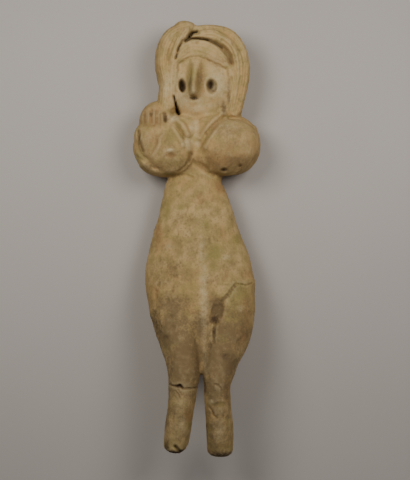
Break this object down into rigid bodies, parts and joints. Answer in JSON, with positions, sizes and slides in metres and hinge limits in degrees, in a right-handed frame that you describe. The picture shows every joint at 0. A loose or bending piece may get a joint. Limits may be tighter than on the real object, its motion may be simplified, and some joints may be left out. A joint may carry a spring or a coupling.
{
  "type": "seated female figurine",
  "caption": "Small solid fired-clay figurine of a seated woman with long coiled hair, punched eyes and bent legs, lying on its back.",
  "frame": {"origin": "on the plane of the worn flats on the back, under the middle of the figurine's box", "axes": "+Y towards the head, +Z out of the face, away from the surface it lies on, +X towards the figure's own left side"},
  "size_m": [0.0332, 0.1102, 0.0241],
  "materials": {
    "clay": "matt, weathered, with reddish and greenish stains"
  },
  "bodies": {
    "root": {"figurine": "clay"}
  },
  "joints": []
}
